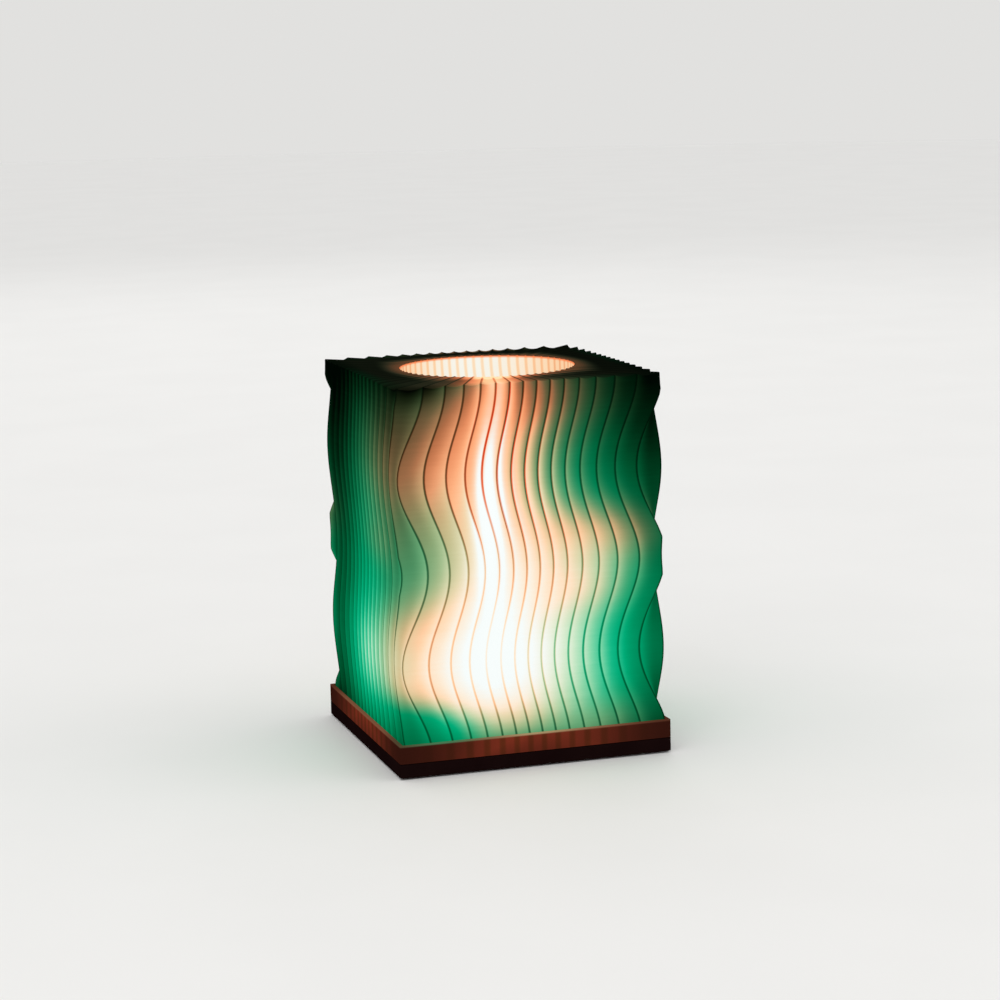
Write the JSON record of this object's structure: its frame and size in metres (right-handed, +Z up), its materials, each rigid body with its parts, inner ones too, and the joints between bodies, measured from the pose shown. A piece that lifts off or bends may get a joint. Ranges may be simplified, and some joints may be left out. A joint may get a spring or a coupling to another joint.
{
  "type": "table lamp",
  "caption": "Square table lamp with a tall translucent fluted shade whose ridges ripple sideways, standing in a low square tray base with a rear push button.",
  "frame": {"origin": "centre of the lamp's footprint, on the table", "axes": "+Z up, +X to the right of the front face, +Y towards the back face with the inlet and the button"},
  "size_m": [0.1158, 0.1158, 0.1579],
  "materials": {
    "shade_plastic": "translucent printed plastic, glowing",
    "tray_plastic": "satin translucent red-brown",
    "housing_plastic": "satin black-brown",
    "holder_plastic": "satin off-white",
    "black_plastic": "matte",
    "white_plastic": "satin",
    "button_plastic": "satin",
    "rubber": "matte",
    "steel": "zinc plated",
    "white_board": "white solder mask on aluminium",
    "green_board": "green solder mask",
    "warm_diode": "phosphor",
    "green_diode": "clear resin",
    "opal_plastic": "opal",
    "red_wire": "satin insulation"
  },
  "bodies": {
    "base": {"tray": "tray_plastic", "housing": "housing_plastic", "foot_1": "rubber", "foot_2": "rubber", "foot_3": "rubber", "foot_4": "rubber", "base_screw_1": "steel", "base_screw_2": "steel", "base_screw_3": "steel", "base_screw_4": "steel", "lamp_holder": "holder_plastic", "holder_screw_1": "steel", "holder_screw_2": "steel", "holder_screw_3": "steel", "light_board": "white_board", "light_screw_1": "steel", "light_screw_2": "steel", "warm_diode_1": "warm_diode", "warm_diode_2": "warm_diode", "warm_diode_3": "warm_diode", "warm_diode_4": "warm_diode", "green_diode_1": "green_diode", "green_diode_2": "green_diode", "green_diode_3": "green_diode", "green_diode_4": "green_diode", "diffuser_dome": "opal_plastic", "dome_ring": "holder_plastic", "control_board": "green_board", "board_screw_1": "steel", "board_screw_2": "steel", "driver_chip": "black_plastic", "driver_coil": "black_plastic", "inlet_shell": "steel", "inlet_tongue": "black_plastic", "switch_body": "black_plastic", "wire_plug": "white_plastic", "wire_red": "red_wire", "wire_black": "black_plastic"},
    "shade": {"shade": "shade_plastic"},
    "power_button": {"power_button": "button_plastic", "switch_plunger": "white_plastic"}
  },
  "joints": [
    {"name": "shade_lift", "type": "slide", "parent": "base", "child": "shade", "axis": [0, 0, 1], "range_m": [0, 0.07]},
    {"name": "power_button_press", "type": "slide", "parent": "base", "child": "power_button", "axis": [0, -1, 0], "range_m": [0, 0.0012], "stiffness_N_per_m": 600, "springref_m": -0.001}
  ]
}
